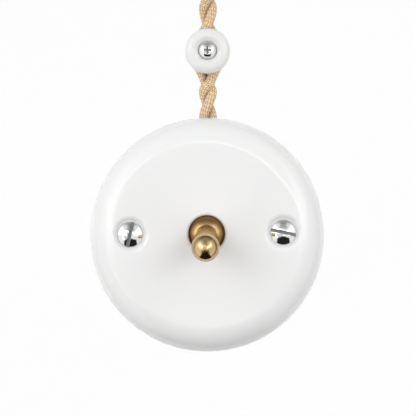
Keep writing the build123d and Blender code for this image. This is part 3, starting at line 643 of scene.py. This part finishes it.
def brassLinks():
    tilt = math.radians(90 + leverShape["tilt"])
    pivot = tuple(Vector(leverShape["pivot"]) * mm)
    # coordinates of the lathe: z along the lever from its pivot
    spot = Signal.add("TexCoord", out="Object")
    lathe = Signal.add("VectorRotate", {"rotation_type": "X_AXIS"},
                       {"Vector": spot, "Center": pivot, "Angle": -tilt})
    lathe = Signal.add("VectorMath", {"operation": "SUBTRACT"}, {0: lathe, 1: pivot})
    x, y, z = split(lathe)
    radius = (x * x + y * y) ** 0.5
    beyond = z - leverShape["length"] * mm
    polar = radius.maths("ARCTAN2", beyond)  # angle from the ball's pole
    onBall = ((z - brassPlaces["ballStart"] * mm) * 4000.0).clamped()
    onDome = ((brassPlaces["domeEnd"] * mm - z) * 2500.0).clamped()
    nearPole = (1.3 - polar * 2.2).clamped(0.08)
    grooveBall = latheMarks(polar * 15.0, 4.0) * nearPole
    grooveStem = latheMarks(z * 5200.0, 3.0)
    groove = onBall * grooveBall + (1 - onBall) * grooveStem * 0.12
    patina = noise(lathe, 210.0, 3.0)
    age = ((patina - 0.42) * 2.2).clamped()
    bright = age.blend(rgba(0.54, 0.375, 0.17), rgba(0.66, 0.47, 0.23))
    stemTone = age.blend(rgba(0.54, 0.375, 0.165), rgba(0.66, 0.47, 0.225))
    # the dome is lighter round the stem and darker towards its edge: partly wear, partly painted light
    # round the stem and painted shade towards the edge
    wearShadeAt, wearShadeWidth = (length * mm for length in brassPlaces["wearAndEdgeShade"])
    wearAndEdgeShade = ((radius - wearShadeAt) / wearShadeWidth).clamped()
    shadeBelowStem = ((0.35 - y / radius) * 2.5).clamped() * 0.85  # painted shade: the dome is darker below the stem
    wearAndEdgeShade = wearAndEdgeShade + shadeBelowStem - wearAndEdgeShade * shadeBelowStem
    domeTone = wearAndEdgeShade.blend(rgba(0.92, 0.66, 0.32), rgba(0.20, 0.10, 0.032))
    # painted shade: a dark line in the corner where the stem meets the dome, on its upper side
    seamAt, seamWidth = (length * mm for length in brassPlaces["seam"])
    seam = (1 - (radius - seamAt).size() / seamWidth).clamped()
    seam = seam * ((y / radius - 0.45) * 4.0).clamped() * 0.85
    domeTone = seam.blend(domeTone, rgba(0.16, 0.085, 0.03))
    domeTone = (age * 0.15).blend(domeTone, rgba(0.50, 0.30, 0.11))
    # painted light: the dome's outermost edge is coloured lighter, and it is made rougher
    litEdgeAt, litEdgeWidth = (length * mm for length in brassPlaces["roughAndLitEdge"])
    roughAndLitEdge = ((radius - litEdgeAt) / litEdgeWidth).clamped()
    domeTone = (roughAndLitEdge * 0.25).blend(domeTone, rgba(0.50, 0.31, 0.13))
    # painted reflection: a darker band round the ball between its pole and its rim
    paintedDarkBand = ((polar - 0.75) * 3.0).clamped() * ((1.38 - polar) * 6.0).clamped() * 0.75
    bright = paintedDarkBand.blend(bright, rgba(0.33, 0.215, 0.09))
    colour = onBall.blend(onDome.blend(stemTone, domeTone), bright)
    rough = onBall * 0.07 + (1 - onBall) * 0.17 + patina * 0.05 + roughAndLitEdge * onDome * 0.2
    return {"Base Color": colour, "Roughness": rough, "Coat Weight": onBall * 0.7,
            "Normal": bump(groove, 0.8, 0.00014)}


lever = makeLever(leverShape)
turnedBrass = newMaterial("turnedBrass", brassLinks, {
    "Metallic": 1.0, "Specular Tint": rgba(1.0, 0.90, 0.74), "Coat Roughness": 0.05, "Coat IOR": 1.6})
dress(lever, turnedBrass, "lever", ["lever"])
print("lever made")


# porcelain knobs and their screws
knobShape = {
    "places": cordShape["necks"], "bore": 2.1, "back": [(6.6, 0), (7.0, 0.4)],
    "foot": [(7.0, 1.5, 0), (6.6, 3.8, 1.6), (4.2, 4.4, 1.2), (2.9, 5.6, 1.4), (2.9, 7.2, 0)],
    "neck": [(2.9, 10.8, 0), (2.9, 12.6, 1.4), (5.0, 12.9, 0.5)],
    "head": [(5.0, 12.9, 0), (8.35, 13.0, 2.4), (8.35, 18.6, 2.7), (5.1, 18.6, 0.7)],
    "dish": (17.8, 0.15), "seat": 17.1,
    "screwHead": 3.15, "screwShank": 1.9, "screwGap": 0.3, "crown": (1.1, 2.0, 2.3),
    "recess": (2.9, 2.6, 0.66), "recessAt": 2.4,
}


def makeKnob(shape, z, name):
    seatR = shape["screwHead"] + shape["screwGap"]
    dishH, dishFillet = shape["dish"]
    dish = [(seatR + 0.1, dishH, dishFillet), (seatR, shape["seat"], 0)]
    rings = [(shape["bore"], 0)] + shape["back"] + roundedRings(shape["foot"], 6)
    rings += roundedRings(shape["neck"], 6)
    rings += roundedRings(shape["head"] + dish, 10)[1:]
    rings += [(shape["bore"], shape["seat"])]
    knob = turnedPiece(name, rings, 96, loop=True)
    settle(knob, (0, 0, z))
    finishEdges(knob, angle=40)
    return knob


def makeKnobScrews(shape):
    screws = []
    head, shank, seat = shape["screwHead"], shape["screwShank"], shape["seat"]
    low, middle, top = (seat + rise for rise in shape["crown"])
    crown = [(head, seat, 0), (head, low, 0.7), (head * 0.66, middle, 2.0), (0, top, 0)]
    for z in shape["places"]:
        rings = [(0, 0.2), (shank, 0.2), (shank, seat)] + roundedRings(crown, 6)
        screw = turnedPiece("knobScrew", rings, 64)
        screw.data.materials.append(chromePlate)
        settle(screw, (0, 0, z))
        for turn in (0, 90):
            at = (0, -(seat + shape["recessAt"]), z)
            recess = boxPiece("recess", shape["recess"], at, (0, turn, 0))
            recess.data.materials.append(recessShade)
            cutWith(screw, recess)
        finishEdges(screw, 0.1, 35, 2)
        screws.append(screw)
    return joined("knobScrews", screws)


knobNames = [("wallKnob", "wall_insulator"), ("endKnob", "end_insulator")]
for z, (name, node) in zip(knobShape["places"], knobNames):
    knob = makeKnob(knobShape, z, name)
    dress(knob, knobGlaze, "switch", [node])
knobScrews = makeKnobScrews(knobShape)
dress(knobScrews, None, "switch", ["insulator_screws"])
dress(cable, cottonBraid, "switch", ["cable_strand_left", "cable_strand_right"])
print("knobs and cord made")


# materials of the pieces inside
def grainMetal(name, low, high, rough):
    def links():
        spot = place()
        grain = noise(place(scale=(1, 1, 14)), 320.0, 3.0)
        stain = noise(spot, 120.0, 3.0)
        colour = stain.blend(rgba(*low), rgba(*high))
        return {"Base Color": colour, "Roughness": grain * 0.16 + rough,
                "Normal": bump(grain, 0.25, 0.00006)}
    return newMaterial(name, links, {"Metallic": 1.0})


def mouldedLinks():
    spot = place()
    swirl = noise(spot, 140.0, 4.0)
    colour = swirl.blend(rgba(0.012, 0.008, 0.006), rgba(0.055, 0.030, 0.020))
    return {"Base Color": colour, "Roughness": swirl * 0.2 + 0.28,
            "Normal": bump(noise(spot, 900.0), 0.15, 0.0001)}


def biscuitLinks():
    spot = place()
    grain, cloud = noise(spot, 1400.0, 3.0, 0.7), noise(spot, 55.0, 2.0)
    pores = ((noise(spot, 900.0, 1.0) - 0.72) * 12.0).clamped()
    colour = cloud.blend(rgba(0.62, 0.585, 0.53), rgba(0.72, 0.69, 0.64))
    colour = (pores * 0.5).blend(colour, rgba(0.40, 0.35, 0.29))
    return {"Base Color": colour, "Roughness": grain * 0.2 + 0.5,
            "Normal": bump(grain - pores, 0.3, 0.0001)}


biscuit = newMaterial("biscuitPorcelain", biscuitLinks, {"Specular IOR Level": 0.35})
insideFinish = {
    "porcelain": coverGlaze,
    "insulator_glaze": knobGlaze,
    "brass": grainMetal("stampedBrass", (0.62, 0.43, 0.18), (0.82, 0.62, 0.32), 0.24),
    "steel": grainMetal("zincSteel", (0.42, 0.43, 0.45), (0.66, 0.67, 0.69), 0.26),
    "silver": grainMetal("contactSilver", (0.72, 0.71, 0.68), (0.90, 0.89, 0.86), 0.2),
    "copper": grainMetal("bareCopper", (0.56, 0.27, 0.15), (0.80, 0.44, 0.28), 0.28),
    "bakelite": newMaterial("mouldedHousing", mouldedLinks, {}),
    "cotton": leadCotton,
    "chrome": chromePlate,
    "lever_brass": turnedBrass,
}
slots = {part["node"]: part["material_slot"] for part in frame["record"]["subparts"]}
for node, thing in frame["nodes"].items():
    finish = biscuit if node == "base" else insideFinish[slots[node]]
    if thing.material_slots:
        for holder in thing.material_slots:
            holder.material = finish
    else:
        thing.data.materials.append(finish)
print("inner pieces finished")


# studio: pale backdrop in a light tent with two bright sides, a dim top, a lit frame round its
# opening and the dark slot below the lens
tent = {
    "wall": 0.98, "inside": 0.76, "top": 0.45, "floor": 1.06, "slot": 0.02, "leftward": 0.06,
    "flanks": 0.5, "backdrop": 0.04, "paper": (0.90, 0.915), "seen": 0.70,
    "hood": (28.0, 40.0, 22.0, 0.5),  # half width, rise and half height in degrees, light left
    # heading, half width, rise and half height in degrees, strength
    "sides": [(-51.0, 31.0, 21.0, 10.0, 0.7), (42.0, 28.0, 21.0, 10.0, 0.7),
              (-41.0, 25.0, 31.0, 13.0, 1.9), (36.0, 25.0, 31.0, 13.0, 1.9)],
    # degrees from the lens above, more to the left and right with a curve each, thickness, strength
    "frame": (11.0, 31.0, 1.6, 24.0, 6.0, 3.4, 3.5),
}

deselectAll()
bpy.ops.mesh.primitive_plane_add(size=6, location=(0, 1.2, 0), rotation=(math.pi / 2, 0, 0))
backdrop = bpy.context.object
backdrop.name = "backdrop"


def backdropLinks():
    dark, light = (rgba(level, level, level) for level in tent["paper"])
    return {"Base Color": noise(place(), 6.0).blend(dark, light)}


paper = newMaterial("backdropPaper", backdropLinks, {
    "Roughness": 0.9, "Emission Color": rgba(1, 1, 1), "Emission Strength": tent["backdrop"]})
backdrop.data.materials.append(paper)


def tentGlow(shape):
    across, into, up = split(Signal.add("TexCoord", out="Generated"))
    toward = into * -1.0
    heading = across.maths("ARCTAN2", toward) * math.degrees(1)
    rise = up.maths("ARCSINE") * math.degrees(1)
    floor, wall, top = ((shape[name],) * 3 for name in ("floor", "wall", "top"))
    stops = [(0.0, floor), (0.42, floor), (0.54, wall), (0.84, wall), (0.93, top)]
    glow = Signal.add("ValToRGB", {"stops": stops}, {"Fac": up * 0.5 + 0.5})
    glow = glow * (1 - across * shape["leftward"])
    # the flanks beside and behind the switch are dimmer, the right one more
    flank = ((into + 0.1) * 4.0).clamped() * (1.6 - into * 2.0).clamped()
    glow = glow * (1 - flank * (1 - (1 - across * 0.35) * shape["flanks"]))
    hoodWide, hoodRise, hoodHigh, hoodDim = shape["hood"]
    hood = ((hoodWide - heading.size()) * 0.08).clamped()
    hood = hood * ((hoodHigh - (rise - hoodRise).size()) * 0.12).clamped()
    glow = glow * (1 - hood * (1 - hoodDim))
    # the frame: how far from the lens it stands, by the side that one looks to
    lift, left, leftCurve, right, rightCurve, thick, power = shape["frame"]
    away = toward.clamped(-1.0, 1.0).maths("ARCCOSINE") * math.degrees(1)
    spread = (across * across + up * up + 0.00001) ** 0.5
    sideways = across / spread
    leftShare = ((up * -2.0).clamped() * 0.5 - sideways).clamped()
    reach = leftShare ** leftCurve * left + sideways.clamped() ** rightCurve * right + lift
    inside = ((reach - away) * 0.5).clamped()
    lit = (1 - (away - reach).size() / thick).clamped()
    lit = lit * ((up + 0.37 - sideways * 0.25) * 4.0).clamped()
    glow = glow * (1 - inside * (1 - shape["inside"])) + lit * power
    for centre, halfWide, height, halfHigh, strength in shape["sides"]:
        wide = ((halfWide - (heading - centre).size()) * 0.12).clamped()
        # the sides slope down and grow narrower towards the lens, and are brightest there
        far = (heading.size() * 0.02).clamped()
        high = ((far * halfHigh + 6.0 - (rise - far * height + 9.0).size()) * 0.12).clamped()
        glow = glow + wide * high * (1.3 - heading.size() * 0.013) * strength
    # the slot widens downwards
    width = (up * -4.0 - 1.2).clamped(0.0, 0.56)
    slot = ((width - across.size()) * 14.0).clamped() * ((-0.05 - up) * 14.0).clamped()
    slot = slot * ((toward + 0.55) * 6.0).clamped()
    glow = slot.blend(glow, rgba(*(shape["slot"],) * 3))
    # seen beside the backdrop, the room is plain
    return Signal.add("LightPath").blend(glow, rgba(*(shape["seen"],) * 3))


world = bpy.data.worlds.new("softRoom")
world.use_nodes = True
bpy.context.scene.world = world
Signal.tree = world.node_tree
ground = world.node_tree.nodes["Background"]
world.node_tree.links.new(tentGlow(tent).out, ground.inputs["Color"])
ground.inputs["Strength"].default_value = 1.0
scene = bpy.context.scene
scene.view_settings.view_transform = "Standard"
scene.view_settings.look = "None"
print("studio lit")
